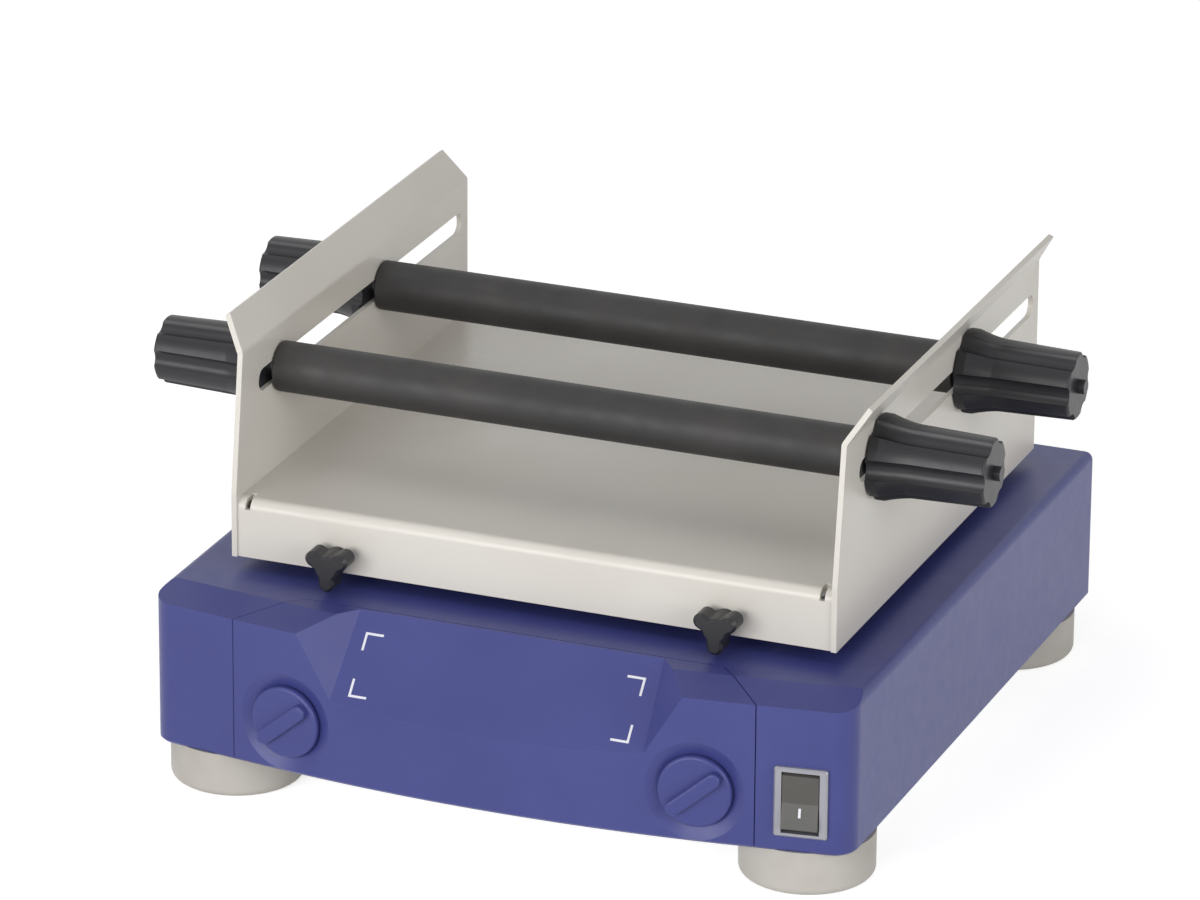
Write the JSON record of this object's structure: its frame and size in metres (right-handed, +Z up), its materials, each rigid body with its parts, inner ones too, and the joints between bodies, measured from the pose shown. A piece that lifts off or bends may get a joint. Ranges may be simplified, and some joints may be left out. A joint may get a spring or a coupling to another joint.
{
  "type": "orbital shaker",
  "caption": "Bench orbital shaker: blue housing with sloping front window and two knobs, orbiting tray with slotted side walls and rubber clamp bars.",
  "frame": {"origin": "on the floor plane, midway along the overall width and depth", "axes": "+X to the right, +Y to the rear, away from the control panel, +Z up"},
  "size_m": [0.3268, 0.2796, 0.1694],
  "materials": {
    "housing_blue": "satin",
    "plate_steel": "brushed",
    "foot_grey": "matt",
    "screw_steel": "bright",
    "seal_rubber": "matt",
    "cast_alloy": "cast",
    "bearing_steel": "ground",
    "bronze": "sintered",
    "motor_steel": "satin",
    "belt_rubber": "matt",
    "board_green": "satin",
    "core_iron": "varnished",
    "pot_plastic": "satin",
    "frame_grey": "satin",
    "rocker_dark": "satin",
    "inlet_black": "satin",
    "pulley_alloy": "turned",
    "tray_beige": "powder coated",
    "bar_steel": "threaded",
    "bar_alloy": "drawn",
    "sleeve_rubber": "matt",
    "knob_black": "satin"
  },
  "bodies": {
    "base": {"housing_cover": "housing_blue", "front_panel": "housing_blue", "base_plate": "plate_steel", "foot_front_left": "foot_grey", "foot_front_right": "foot_grey", "foot_rear_left": "foot_grey", "foot_rear_right": "foot_grey", "foot_screws": "screw_steel", "cover_screws": "screw_steel", "shaft_seals": "seal_rubber", "bearing_tower": "cast_alloy", "tower_bearings": "bearing_steel", "idler_towers": "cast_alloy", "idler_bearings": "bronze", "motor": "motor_steel", "motor_bracket": "plate_steel", "drive_belt": "belt_rubber", "control_board": "board_green", "power_supply": "core_iron", "speed_potentiometer": "pot_plastic", "timer_potentiometer": "pot_plastic", "switch_frame": "frame_grey", "mains_inlet": "inlet_black"},
    "drive": {"drive_shaft": "bearing_steel", "driven_pulley": "pulley_alloy", "counterweight": "core_iron"},
    "motor_rotor": {"motor_pulley": "pulley_alloy"},
    "idler_1": {"idler_crank_1": "bearing_steel"},
    "idler_2": {"idler_crank_2": "bearing_steel"},
    "idler_3": {"idler_crank_3": "bearing_steel"},
    "idler_4": {"idler_crank_4": "bearing_steel"},
    "table": {"platform": "cast_alloy", "platform_bearing": "bearing_steel", "platform_idler_bearings": "bronze", "tray_pan": "tray_beige", "side_wall_left": "tray_beige", "side_wall_right": "tray_beige"},
    "front_bar": {"front_clamp_rod": "bar_steel", "front_bar_tube": "bar_alloy", "front_bar_sleeve": "sleeve_rubber"},
    "rear_bar": {"rear_clamp_rod": "bar_steel", "rear_bar_tube": "bar_alloy", "rear_bar_sleeve": "sleeve_rubber"},
    "knob_front_left": {"clamp_knob_front_left": "knob_black"},
    "knob_front_right": {"clamp_knob_front_right": "knob_black"},
    "knob_rear_left": {"clamp_knob_rear_left": "knob_black"},
    "knob_rear_right": {"clamp_knob_rear_right": "knob_black"},
    "thumb_front_left": {"thumbscrew_front_left": "knob_black"},
    "thumb_front_right": {"thumbscrew_front_right": "knob_black"},
    "thumb_rear_left": {"thumbscrew_rear_left": "knob_black"},
    "thumb_rear_right": {"thumbscrew_rear_right": "knob_black"},
    "speed_dial": {"speed_knob": "housing_blue"},
    "timer_dial": {"timer_knob": "housing_blue"},
    "rocker": {"switch_rocker": "rocker_dark"}
  },
  "joints": [
    {"name": "drive_spin", "type": "hinge", "parent": "base", "child": "drive", "pos_m": [0, 0.01025, 0.05], "axis": [0, 0, 1], "continuous": true},
    {"name": "motor_spin", "type": "hinge", "parent": "base", "child": "motor_rotor", "pos_m": [0, 0.08525, 0.05], "axis": [0, 0, 1], "continuous": true},
    {"name": "platform_orbit", "type": "hinge", "parent": "drive", "child": "table", "pos_m": [0, 0.01225, 0.09], "axis": [0, 0, 1], "continuous": true},
    {"name": "idler_spin_1", "type": "hinge", "parent": "base", "child": "idler_1", "pos_m": [-0.085, -0.06475, 0.06], "axis": [0, 0, 1], "continuous": true},
    {"name": "idler_spin_2", "type": "hinge", "parent": "base", "child": "idler_2", "pos_m": [-0.085, 0.08525, 0.06], "axis": [0, 0, 1], "continuous": true},
    {"name": "idler_spin_3", "type": "hinge", "parent": "base", "child": "idler_3", "pos_m": [0.085, -0.06475, 0.06], "axis": [0, 0, 1], "continuous": true},
    {"name": "idler_spin_4", "type": "hinge", "parent": "base", "child": "idler_4", "pos_m": [0.085, 0.08525, 0.06], "axis": [0, 0, 1], "continuous": true},
    {"name": "front_bar_slide", "type": "slide", "parent": "table", "child": "front_bar", "axis": [0, 1, 0], "range_m": [-0.015, 0.028]},
    {"name": "rear_bar_slide", "type": "slide", "parent": "table", "child": "rear_bar", "axis": [0, 1, 0], "range_m": [-0.028, 0.07]},
    {"name": "clamp_knob_front_left_turn", "type": "hinge", "parent": "front_bar", "child": "knob_front_left", "pos_m": [-0.1173, -0.0561, 0.141], "axis": [-1, 0, 0], "range_deg": [0, 720]},
    {"name": "clamp_knob_front_right_turn", "type": "hinge", "parent": "front_bar", "child": "knob_front_right", "pos_m": [0.1173, -0.0561, 0.141], "axis": [1, 0, 0], "range_deg": [0, 720]},
    {"name": "clamp_knob_rear_left_turn", "type": "hinge", "parent": "rear_bar", "child": "knob_rear_left", "pos_m": [-0.1173, 0.0371, 0.141], "axis": [-1, 0, 0], "range_deg": [0, 720]},
    {"name": "clamp_knob_rear_right_turn", "type": "hinge", "parent": "rear_bar", "child": "knob_rear_right", "pos_m": [0.1173, 0.0371, 0.141], "axis": [1, 0, 0], "range_deg": [0, 720]},
    {"name": "thumbscrew_front_left_turn", "type": "hinge", "parent": "table", "child": "thumb_front_left", "pos_m": [-0.075, -0.095, 0.086], "axis": [0, -1, 0], "range_deg": [0, 1080]},
    {"name": "thumbscrew_front_right_turn", "type": "hinge", "parent": "table", "child": "thumb_front_right", "pos_m": [0.075, -0.095, 0.086], "axis": [0, -1, 0], "range_deg": [0, 1080]},
    {"name": "thumbscrew_rear_left_turn", "type": "hinge", "parent": "table", "child": "thumb_rear_left", "pos_m": [-0.075, 0.1195, 0.086], "axis": [0, 1, 0], "range_deg": [0, 1080]},
    {"name": "thumbscrew_rear_right_turn", "type": "hinge", "parent": "table", "child": "thumb_rear_right", "pos_m": [0.075, 0.1195, 0.086], "axis": [0, 1, 0], "range_deg": [0, 1080]},
    {"name": "speed_knob_turn", "type": "hinge", "parent": "base", "child": "speed_dial", "pos_m": [-0.079, -0.13484, 0.0365], "axis": [0.1226, 0.9925, 0], "range_deg": [0, 270]},
    {"name": "timer_knob_turn", "type": "hinge", "parent": "base", "child": "timer_dial", "pos_m": [0.079, -0.13484, 0.0365], "axis": [-0.1226, 0.9925, 0], "range_deg": [0, 300]},
    {"name": "rocker_tilt", "type": "hinge", "parent": "base", "child": "rocker", "pos_m": [0.11669, -0.12658, 0.03675], "axis": [0.9896, 0.1438, 0], "range_deg": [0, 14]}
  ],
  "couplings": [
    {"joint": "motor_spin", "follows": "drive_spin", "ratio": 3},
    {"joint": "platform_orbit", "follows": "drive_spin", "ratio": -1},
    {"joint": "idler_spin_1", "follows": "drive_spin", "ratio": 1},
    {"joint": "idler_spin_2", "follows": "drive_spin", "ratio": 1},
    {"joint": "idler_spin_3", "follows": "drive_spin", "ratio": 1},
    {"joint": "idler_spin_4", "follows": "drive_spin", "ratio": 1}
  ]
}
